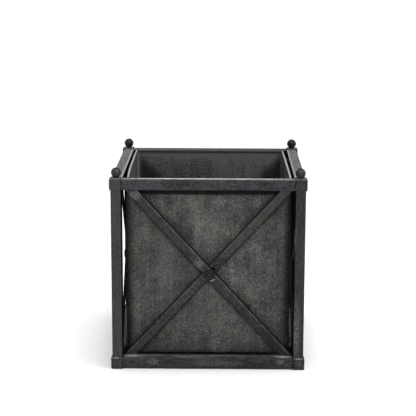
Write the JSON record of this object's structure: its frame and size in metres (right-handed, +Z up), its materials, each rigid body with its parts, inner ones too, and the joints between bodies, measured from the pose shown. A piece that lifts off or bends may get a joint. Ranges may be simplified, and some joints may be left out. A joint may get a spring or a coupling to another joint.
{
  "type": "versailles planter",
  "caption": "Square planter: dark tube-steel frame with ball finials and crossed, riveted flat-bar braces on every side, round a loose sheet-metal liner that lifts out.",
  "frame": {"origin": "on the ground under the centre of the planter", "axes": "+Z up, -Y towards the side seen in the picture, +X to the right as seen there"},
  "size_m": [0.446, 0.446, 0.4698],
  "materials": {
    "frame_steel": "matt charcoal, waxed over blackened steel, lightly mottled",
    "forged_steel": "matt charcoal on solid steel blocks, balls and bosses",
    "liner_sheet": "dull, patinated grey-brown sheet with pale speckles and vertical streaks",
    "rim_wire": "bare drawn wire, hidden inside the rolled rim"
  },
  "bodies": {
    "frame": {"post_front_left": "frame_steel", "post_front_right": "frame_steel", "post_back_right": "frame_steel", "post_back_left": "frame_steel", "top_rail_front": "frame_steel", "top_rail_right": "frame_steel", "top_rail_back": "frame_steel", "top_rail_left": "frame_steel", "bottom_rail_front": "frame_steel", "bottom_rail_right": "frame_steel", "bottom_rail_back": "frame_steel", "bottom_rail_left": "frame_steel", "corner_block_front_left": "forged_steel", "corner_block_front_right": "forged_steel", "corner_block_back_right": "forged_steel", "corner_block_back_left": "forged_steel", "foot_block_front_left": "forged_steel", "foot_block_front_right": "forged_steel", "foot_block_back_right": "forged_steel", "foot_block_back_left": "forged_steel", "finial_front_left": "forged_steel", "finial_front_right": "forged_steel", "finial_back_right": "forged_steel", "finial_back_left": "forged_steel", "outer_brace_front": "frame_steel", "outer_brace_right": "frame_steel", "outer_brace_back": "frame_steel", "outer_brace_left": "frame_steel", "inner_brace_front": "frame_steel", "inner_brace_right": "frame_steel", "inner_brace_back": "frame_steel", "inner_brace_left": "frame_steel", "rivet_boss_front": "forged_steel", "rivet_boss_right": "forged_steel", "rivet_boss_back": "forged_steel", "rivet_boss_left": "forged_steel", "cross_tube_front": "frame_steel", "cross_tube_middle": "frame_steel", "cross_tube_back": "frame_steel"},
    "liner": {"liner_panel_front": "liner_sheet", "liner_panel_right": "liner_sheet", "liner_panel_back": "liner_sheet", "liner_panel_left": "liner_sheet", "liner_floor": "liner_sheet", "rim_wire": "rim_wire"}
  },
  "joints": [
    {"name": "liner_lift", "type": "slide", "parent": "frame", "child": "liner", "axis": [0, 0, 1], "range_m": [0, 0.45]}
  ]
}
